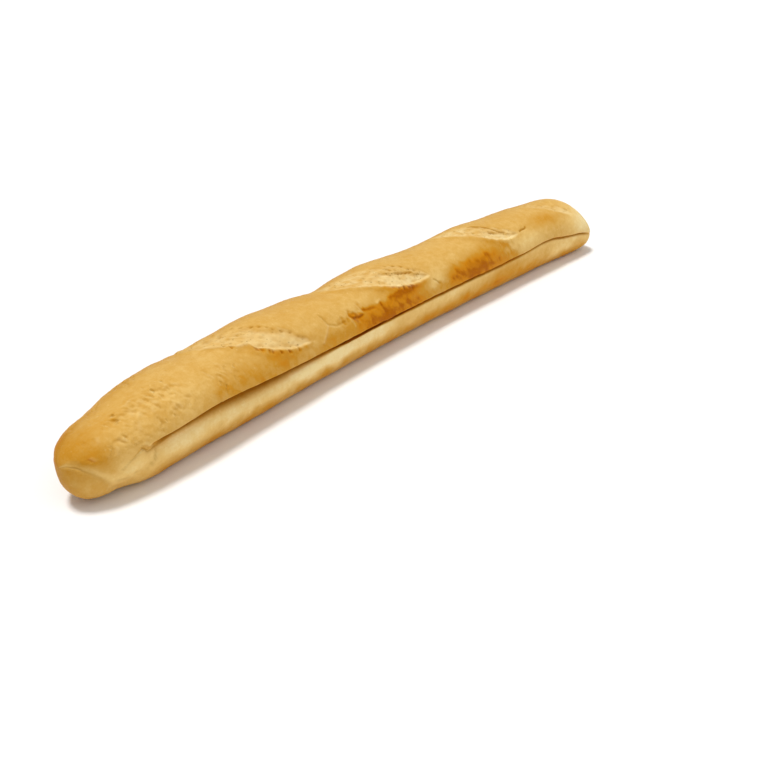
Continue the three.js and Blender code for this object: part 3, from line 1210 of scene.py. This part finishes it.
@dataclass
class Loaf:
    """The baguette: its fine mesh, its relief, its baked maps and its crust."""

    form: LoafForm = field(default_factory=LoafForm)
    finish: BakedCrust = BakedCrust()
    heat: OvenHeat = OvenHeat()
    seed: int = 20
    centre_line: float = 4.7
    dome_steps: int = 122
    roll_steps: int = 40
    rings: int = 606
    dome_crowding: float = 0.5
    roll_crowding: float = 0.78
    end_crowding: float = 9.0
    swells: Layers = ((0.35, 46.0), (0.22, 13.0))
    blisters: Layers = ((1.0, 5.2), (0.6, 2.8))
    blister_height: Span = (0.06, 0.18)
    blister_patch_mm: float = 24.0
    blister_patch_edge: Span = (-0.4, 0.5)
    slashes: tuple[Slash, ...] = (
        Slash(
            x=-138, across=3, length=115, width=26, turn=41, curl=9, bed_depth=1.8, flap=0.12, upper_wall=13.0,
            paleness=0.66, far_paleness=0.5, scorch=0.1, pits=34, lip_dent=Rise(7, 4, 4),
            notches=(-8, -2.4, 13, 15.3, 17, 23.1, 26, 31.1, 37.6, 45.8),
            dots=((-133, -5.8), (-129, -0.9), (-124, 4.7), (-120, 7.9), (-116, 11.7), (-110, 18.7), (-104, 21.9)),
        ),
        Slash(
            x=-4, across=7.5, length=112, width=25, turn=24.5, curl=2.5, bed_depth=1.8, flap=0.47,
            paleness=0.9, far_paleness=0.66, scorch=0.3, pits=9,
            notches=(13.6, 18.3, 24.1, 28.1, 32.5),
            dots=(
                (12, 9.3), (14, 11.4), (18, 13.1), (15, 6.1), (20, 8.9), (26, 12.1), (30, 17), (34, 19.8), (36, 23.3),
            ),
            cracks=(((16, 15.9), (22, 18), (26, 19.1), (31, 20.5)),),
        ),
        Slash(
            x=126, across=8.5, length=90, width=20, turn=32, curl=6, bed_depth=1.5, flap=0.55,
            paleness=0.95, far_paleness=0.75, scorch=0.12, pits=10,
            cracks=(
                ((127, -0.4), (133, 4.2), (139, 9.6), (142, 13.8), (146, 18.7), (152, 21.2)),
                ((136, 15.6), (140, 18.4)),
                ((169, 26), (173, 25.2), (177, 26), (179, 24.6)),
            ),
        ),
        Slash(
            x=228, across=9.5, length=56, width=13, turn=39, curl=0, bed_depth=0.7, flap=0.1, lip_height=0.15,
            paleness=0.6, far_paleness=0.4, scorch=0.0, pits=3,
        ),
    )
    bands: tuple[BrownedBand, ...] = (
        BrownedBand(start=-66, end=48, edge=28, soft=2.4, fade=30, ragged=3.0, strength=0.36),
        BrownedBand(start=54, end=172, edge=26, soft=8, fade=26, ragged=2.6, strength=0.28),
        BrownedBand(start=-50, end=170, edge=35, soft=6, fade=24, ragged=3.0, strength=0.16),
        BrownedBand(start=-204, end=-50, edge=26, soft=14, fade=34, ragged=0.6, strength=0.25),
    )
    patches: tuple[BakedPatch, ...] = (
        BakedPatch(-16, 37, 24, 8, 0.16),
        BakedPatch(110, 37, 34, 9, 0.3),
        BakedPatch(112, 27, 12, 5, 0.1),
        BakedPatch(207, 26, 22, 8, 0.23),
        # Painted shade in the neck's dip between the first two slashes
        BakedPatch(-58, -2, 20, 10, 0.06),
        BakedPatch(-124, 31, 7, 3, 0.2),
        BakedPatch(-267, 38, 10, 10, 0.14),
        BakedPatch(-63, 41, 20, 7, 0.16),
        BakedPatch(-2, 42, 34, 6, 0.13),
        BakedPatch(88, 40, 20, 8, 0.12),
        BakedPatch(-150, 32, 18, 8, 0.06),
        BakedPatch(-256, 8, 20, 13, 0.08),
        BakedPatch(50, 33, 12, 7, -0.15),
        BakedPatch(178, 37, 23, 9, -0.17),
        BakedPatch(150, 33, 15, 8, -0.34),
        BakedPatch(-95, 42, 10, 6, -0.1),
        BakedPatch(-89, 36, 9, 4, -0.2),
        BakedPatch(-245, 55, 13, 9, -0.2),
        BakedPatch(-192, 32, 16, 8, -0.06),
        BakedPatch(-274, 72, 8, 10, -0.14),
        BakedPatch(257, 34, 23, 16, -0.24),
    )
    roll_patches: tuple[BakedPatch, ...] = (
        BakedPatch(-64, 54, 42, 6.5, -0.16),
        BakedPatch(9, 53, 14, 8, 0.14),
        BakedPatch(70, 62, 50, 6, 0.24),
        BakedPatch(-142, 62, 30, 12, 0.06),
        BakedPatch(-36, 61, 30, 5, 0.14),
        BakedPatch(48, 57, 30, 11, 0.09),
        BakedPatch(148, 56, 45, 9, 0.46),
        BakedPatch(203, 60, 11, 7, 0.15),
        BakedPatch(236, 60, 22, 9, -0.05),
    )
    wrinkles: tuple[WrinkleZone, ...] = (
        WrinkleZone(-243, 20, 22, 19, turn=84, depth=1.6, dents=9),
        WrinkleZone(-213, 22, 24, 15, turn=74, depth=1.5, dents=7),
        WrinkleZone(-174, 28, 24, 11, turn=68, depth=1.1, dents=4),
        WrinkleZone(-50, 30, 18, 8, turn=64, depth=0.9, dents=4),
        WrinkleZone(-228, -20, 32, 16, turn=-76, depth=1.2, dents=6),
        WrinkleZone(-96, -30, 34, 9, turn=-70, depth=0.8, dents=4),
        WrinkleZone(60, -30, 36, 9, turn=-70, depth=0.8, dents=4),
    )
    creases: tuple[Crease, ...] = (
        Crease(((-168, -26), (-163, -20), (-157, -13)), 2.2, 1.1),
        Crease(((-47, -9), (-42, -4)), 2.0, 0.6),
        Crease(((-165, -3), (-158, 5), (-152, 10)), 0.8, 0.35, tear=0.35),
        Crease(((-145.5, 14.4), (-141.5, 15.4)), 1.2, 0.3, tear=0.55),
        Crease(((-140, 15.4), (-136.5, 16.2)), 1.3, 0.3, tear=0.6),
        Crease(((-151, -4), (-148, -1)), 0.8, 0.3, tear=0.4),
        Crease(((-72, 20.6), (-71, 24.3), (-70, 28.6)), 0.7, -0.5, shade=0.28),
        Crease(((-70, 28.6), (-75, 33.6), (-80, 38.1)), 0.9, 0.4, tear=0.25),
        Crease(((-70, 28.6), (-63, 31.9), (-54, 31.9)), 0.7, -0.45, shade=0.16),
        Crease(((-47, 26.4), (-48, 29.2), (-45, 32.9), (-42, 35.6)), 0.9, -0.5, shade=0.16, browning=0.2),
        Crease(((-45, 32.4), (-39, 33.9), (-35, 32.9)), 1.0, -0.5, shade=0.16, browning=0.22),
        Crease(((-56, 28.8), (-56, 31.7), (-55, 33.4)), 0.9, -0.5, shade=0.16, browning=0.15),
        Crease(((-51, 30.8), (-51, 33.1)), 0.8, -0.4, shade=0.14, browning=0.12),
        Crease(((-36, 24.6), (-35, 29.1), (-33, 30.8)), 0.8, -0.4, shade=0.12, browning=0.15),
        Crease(((-34, 30.1), (-28, 31.5), (-22, 31.9)), 1.2, -0.3, shade=0.08, browning=0.2),
        Crease(((-15, 30.7), (-13, 36.1), (-11, 39.2)), 1.1, -0.4, shade=0.1, browning=0.2),
        Crease(((-48, 31.7), (-46, 38.2)), 1.0, 0.35, browning=-0.16),
        Crease(((-38, 29.9), (-35, 32.4)), 0.9, 0.35, browning=-0.14),
        Crease(((-18, 30.2), (-14, 28.8)), 0.9, 0.3, browning=-0.16),
        Crease(((48, 32.4), (51, 34.5), (54, 37.6)), 0.7, -0.5, shade=0.15),
        Crease(((-281, 32), (-277, 43), (-272, 49), (-265, 57), (-258, 64)), 4.4, 0.0, browning=-0.2),
        Crease(((-281, 34), (-278, 39.7), (-275, 46.4), (-268, 54.2), (-261, 66.5)), 1.0, 0.15, tear=0.06),
        Crease(((-278, 42), (-274, 50), (-266, 60), (-260, 68.5)), 1.0, -0.45, shade=0.12),
        Crease(((-261, 66.5), (-255, 64.2), (-248, 63.4), (-243, 60.2)), 0.8, -0.6, shade=0.26),
        Crease(((-243, 60.2), (-237, 60.7), (-232, 57.6), (-229, 50)), 0.7, -0.6, shade=0.3),
        Crease(((-229, 49.5), (-236, 48.6), (-240, 44.3)), 0.8, -0.7, shade=0.45),
        Crease(((-240, 44.3), (-248, 49.3), (-254, 55.4)), 0.7, -0.5, shade=0.26),
        Crease(((-245.7, 14.5), (-245.9, 19.8)), 0.8, -0.5, shade=0.25),
        Crease(((-248.2, 29.0), (-246.5, 34.1)), 0.8, -0.4, shade=0.15),
        Crease(((-223.0, 14.4), (-222.2, 17.9)), 0.8, -0.5, shade=0.2),
        Crease(((-220.2, 23.5), (-219.2, 26.7)), 0.8, -0.5, shade=0.22),
        Crease(((-224.0, 30.7), (-222.7, 35.7)), 0.7, -0.4, shade=0.12),
        Crease(((-233, 46), (-238, 42)), 1.2, 0.4, tear=0.12),
    )

    def grid(self) -> CrustGrid:
        """Lays out the rings, crowded at the ends, and the steps, crowded at the folds.

        Returns:
            The smooth crust.
        """
        even = np.linspace(-1.0, 1.0, self.rings + 1)[1:-1]
        power = self.end_crowding
        stations = (power * even - np.sign(even) * np.abs(even) ** power) / (power - 1.0)
        crowded = []
        dome, roll = (0.0, self.dome_steps, self.dome_crowding), (1.0, self.roll_steps, self.roll_crowding)
        for half, count, crowding in (dome, roll):
            share = np.arange(count) / count
            crowded.append(half + share - crowding * np.sin(2 * math.pi * share) / (2 * math.pi))
        angle = math.pi * np.concatenate(crowded)
        return CrustGrid(stations * self.form.length / 2, angle, self.form.arc(angle))

    def fold_wander(self, x: Array, angle: Array, noise: DoughNoise) -> Array:
        """Gives how far the fold strays from its level run, more where it is only a crack.

        Args:
            x: places along the loaf.
            angle: directions round the section.
            noise: unevenness of the fold's run.
        Returns:
            The straying in millimetres.
        """
        form = self.form
        side = np.stack([x, form.wander_sides_apart * np.sign(np.cos(angle)), 0.0 * x], -1)
        share = blend(form.open_wander_share, 1.0, form.fold_thins(x))
        return form.fold_wander * share * noise.layered(side, form.wander_mm, form.wander_layers)

    def plain_places(self, grid: CrustGrid, noise: DoughNoise) -> Array:
        """Works out the loaf's points before its fine relief.

        Args:
            grid: the rings and steps.
            noise: unevenness of the fold's run.
        Returns:
            Points in millimetres, by ring and step.
        """
        x, angle = np.meshgrid(grid.x, grid.angle, indexing="ij")
        radius = self.form.radius(x, angle, self.fold_wander(x, angle, noise))
        y = self.form.bowed_centre(x) + radius * np.cos(angle)
        z = self.form.fold_height(x) + radius * np.sin(angle)
        return np.stack([x, y, z], -1)

    def outward(self, places: Array) -> Array:
        """Gives the directions straight out of the crust.

        Args:
            places: points by ring and step.
        Returns:
            Unit directions by ring and step.
        """
        along = np.gradient(places, axis=0)
        round_it = np.roll(places, -1, axis=1) - np.roll(places, 1, axis=1)
        out = np.cross(round_it, along)
        return out / np.linalg.norm(out, axis=-1, keepdims=True)

    def roughen(self, grid: CrustGrid, places: Array, noise: DoughNoise) -> None:
        """Adds the crust's relief: lumps, blisters, wrinkles, creases and slashes.

        Args:
            grid: the crust that is shaped.
            places: its points.
            noise: unevenness of the dough.
        """
        draw = np.random.default_rng(self.seed)
        patchy = smooth_step(noise.at(places, self.blister_patch_mm), *self.blister_patch_edge)
        blisters = blend(*self.blister_height, patchy) * noise.mix(places, self.blisters)
        grid.relief += noise.mix(places, self.swells) + blisters
        for slash in self.slashes:
            slash.cut(grid, places, noise)
        for slash in self.slashes:
            slash.pick(grid, draw)
        for zone in self.wrinkles:
            zone.press(grid, places, noise, draw)
        for crease in self.creases:
            crease.press(grid)

    def bake(self, grid: CrustGrid, places: Array, noise: DoughNoise) -> None:
        """Browns the crust where the oven caught it, leaves it pale where it lay sheltered, and paints light and shade
        over it.

        Args:
            grid: the crust that is browned.
            places: its points.
            noise: unevenness of the heat.
        """
        heat = self.heat
        x, arc = grid.spots()
        half_turn = math.pi * self.form.dome_arc
        arc = np.where(arc > half_turn, arc - 2.0 * half_turn, arc)
        angle = np.broadcast_to(grid.angle, x.shape)
        leaning = x - heat.streak_lean * np.abs(arc) + noise.mix(places, heat.streak_bend)
        streaks = noise.mix(np.stack([leaning, heat.streak_stretch * arc, 0.0 * x], -1), heat.streaks)
        dome = heat.dome + noise.mix(places, heat.dome_uneven) + heat.pale_tip.at(x) + heat.brown_nose.at(x)
        roll = heat.roll + heat.roll_uneven * noise.layered(places, heat.roll_uneven_mm, heat.roll_layers)
        for side, shift, share in ((1.0, 0.0, 1.0), (-1.0, heat.far_shift, heat.far_share)):
            spots = x - shift, side * arc
            dome = dome + share * sum(b.at(*spots, share * streaks) for b in self.bands)
            dome = dome + share * sum(p.at(*spots) for p in self.patches)
            roll = roll + sum(p.at(*spots) for p in self.roll_patches)
        dome = dome + heat.crown_rim.at(arc) * smooth_step(arc, *heat.crown_rim_ends)
        # Painted light and shade follow the relief: slopes facing the key light turn paler, slopes facing away browner
        # and shaded.
        ring_gap = np.linalg.norm(np.gradient(places, axis=0), axis=-1)
        leans_along = heat.leans_along * np.gradient(grid.relief, axis=0) / ring_gap
        leans = np.gradient(grid.relief, grid.arc, axis=1) * np.sign(arc) - leans_along
        leans = np.where(np.sin(angle) > 0, np.clip(leans, -heat.steepest_lean, heat.steepest_lean), 0.0)
        dome = dome + heat.slope_light_and_shade * leans
        shaded = heat.lean_shade * np.maximum(0.0, -leans - heat.lean_shade_from)
        # Painted shade on the nose and along the crown's far side, added to the slopes' painted shade.
        shaded = shaded + heat.nose_shade.at(x) + heat.crown_shade.at(arc)
        foot = (heat.foot + noise.mix(places, heat.foot_uneven)) * (1.0 + heat.foot_at_tip.at(x))
        ragged_height = places[..., 2] + noise.mix(places, heat.foot_ragged)
        roll = roll + foot * smooth_step(ragged_height, *heat.foot_heights) + heat.roll_tip.at(x)
        under = self.form.fold_begins(x) * smooth_step(self.form.below_fold(angle), heat.roll_from, heat.roll_to)
        # Painted shadow under the fold's lip: browner, and darkened by the shade tint.
        root = self.form.fold_shadow(x, angle, self.fold_wander(x, angle, noise))
        grid.maps[CrustMap.BROWNING] += blend(dome, roll, under) + heat.fold_shadow_browning * root
        grid.maps[CrustMap.SHADE] += shaded
        grid.raise_map(CrustMap.SHADE, heat.root_shade * root)

    def mesh(self, grid: CrustGrid, places: Array) -> bpy.types.Mesh:
        """Makes the closed mesh, with one point at each end, and hangs the maps on it.

        Args:
            grid: the rings, steps and maps.
            places: the finished points in millimetres.
        Returns:
            The mesh in metres.
        """
        rings, steps = grid.relief.shape
        ends = places[[0, -1]].mean(axis=1)
        ends[:, 0] = np.sign(ends[:, 0]) * self.form.length / 2
        points = np.concatenate([places.reshape(-1, 3), ends]) * MM
        ring, step = np.meshgrid(np.arange(rings - 1), np.arange(steps), indexing="ij")
        here, beside = ring * steps + step, ring * steps + (step + 1) % steps
        quads = np.stack([here, beside, beside + steps, here + steps], -1).reshape(-1, 4)
        first, last = np.arange(steps), (rings - 1) * steps + np.arange(steps)
        nose = np.stack([np.roll(first, -1), first, np.full(steps, rings * steps)], -1)
        tip = np.stack([last, np.roll(last, -1), np.full(steps, rings * steps + 1)], -1)
        mesh = bpy.data.meshes.new("loaf_crust")
        mesh.from_pydata(points.tolist(), [], quads.tolist() + nose.tolist() + tip.tolist())
        mesh.shade_smooth()
        for name, values in grid.maps.items():
            whole = np.concatenate([values.ravel(), values[[0, -1]].mean(axis=1)])
            layer = mesh.attributes.new(name.value, "FLOAT", "POINT")
            layer.data.foreach_set("value", np.clip(whole, 0.0, 1.0).astype(np.float32))
        mesh.validate()
        return mesh

    def build(self) -> Iterator[bpy.types.Object]:
        """Builds the loaf and dresses it.

        Yields:
            The loaf's one piece.
        """
        noise = DoughNoise(self.seed)
        grid = self.grid()
        plain = self.plain_places(grid, noise)
        self.roughen(grid, plain, noise)
        self.bake(grid, plain, noise)
        places = plain + self.outward(plain) * grid.relief[..., None]
        places[..., 1] += self.centre_line
        places[..., 2] = np.maximum(0.0, places[..., 2])
        piece = bpy.data.objects.new("baguette_loaf", self.mesh(grid, places))
        bpy.context.scene.collection.objects.link(piece)
        piece.data.materials.append(self.finish.make())
        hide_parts("loaf")
        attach(piece, "root")
        yield piece


@dataclass(frozen=True)
class SoftLight:
    """One wide, even light, far enough away to reach the whole floor alike."""

    name: str
    comes_from: tuple[float, float, float]
    strength: float
    spread_deg: float

    def build(self) -> None:
        """Hangs the light so that it shines from its side."""
        lamp = bpy.data.lights.new(self.name, "SUN")
        lamp.energy = self.strength
        lamp.angle = math.radians(self.spread_deg)
        holder = bpy.data.objects.new(self.name, lamp)
        holder.rotation_euler = Vector(self.comes_from).to_track_quat("Z", "Y").to_euler()
        bpy.context.scene.collection.objects.link(holder)


@dataclass
class Studio:
    """A pale floor, soft light and the camera at the photograph's angle."""

    floor_size: float = 14.0
    floor_drop: float = 0.2 * MM
    card: MattCard = MattCard()
    sky: str = "#ffffff"
    sky_strength: float = 0.36
    lights: tuple[SoftLight, ...] = (
        SoftLight("key_light", (-0.12, 0.15, 1.0), 2.12, 14.0),
        SoftLight("fill_light", (0.1, -1.0, 0.9), 0.6, 70.0),
    )
    camera_place: tuple[float, float, float] = (-539.4, -458.4, 333.7)
    azimuth: float = -50.366
    elevation: float = 27.69
    roll: float = -0.871
    sensor_mm: float = 36.0
    lens_mm: float = 48.04

    def build_floor(self) -> bpy.types.Object:
        """Lays the floor just under the loaf."""
        half = self.floor_size / 2
        corners = [(sx * half, sy * half, -self.floor_drop) for sx, sy in ((-1, -1), (1, -1), (1, 1), (-1, 1))]
        mesh = bpy.data.meshes.new("floor")
        mesh.from_pydata(corners, [], [(0, 1, 2, 3)])
        floor = bpy.data.objects.new("floor", mesh)
        floor.data.materials.append(self.card.make())
        bpy.context.scene.collection.objects.link(floor)
        floor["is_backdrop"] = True
        return floor

    def build_light(self) -> None:
        """Lights the scene with an even white sky and the two lights."""
        world = bpy.data.worlds.new("studio_white")
        world.use_nodes = True
        sky = world.node_tree.nodes["Background"]
        sky.inputs["Color"].default_value = linear_rgba(self.sky)
        sky.inputs["Strength"].default_value = self.sky_strength
        bpy.context.scene.world = world
        for light in self.lights:
            light.build()
        bpy.context.scene.view_settings.view_transform = "Standard"

    def build_camera(self) -> None:
        """Sets the camera where the photograph was taken from."""
        azimuth, elevation, roll = (math.radians(a) for a in (self.azimuth, self.elevation, self.roll))
        level = math.cos(elevation)
        back = Vector((math.sin(azimuth) * level, -math.cos(azimuth) * level, math.sin(elevation)))
        right = Vector((0.0, 0.0, 1.0)).cross(back).normalized()
        up = back.cross(right)
        turned_right = right * math.cos(roll) + up * math.sin(roll)
        turned_up = up * math.cos(roll) - right * math.sin(roll)
        lens = bpy.data.cameras.new("photo_camera")
        lens.sensor_width = self.sensor_mm
        lens.lens = self.lens_mm
        camera = bpy.data.objects.new("photo_camera", lens)
        camera.matrix_world = Matrix((turned_right, turned_up, back)).transposed().to_4x4()
        camera.location = Vector(self.camera_place) * MM
        bpy.context.scene.collection.objects.link(camera)
        bpy.context.scene.camera = camera


def write_sizes() -> None:
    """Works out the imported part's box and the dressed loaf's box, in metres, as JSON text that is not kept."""
    boxes = {"cad": CAD_BOX, "visual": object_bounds()}
    json.dumps({name: [list(low), list(high)] for name, (low, high) in boxes.items()})


def main() -> None:
    """Builds the studio and the loaf, and reports each piece."""
    logging.basicConfig(level=logging.INFO, format="%(name)s: %(message)s")
    studio = Studio()
    studio.build_camera()
    studio.build_light()
    LOG.info("floor %s", studio.build_floor().name)
    for piece in Loaf().build():
        LOG.info("piece %s with %d faces", piece.name, len(piece.data.polygons))
    write_sizes()


if __name__ == "__main__":
    main()
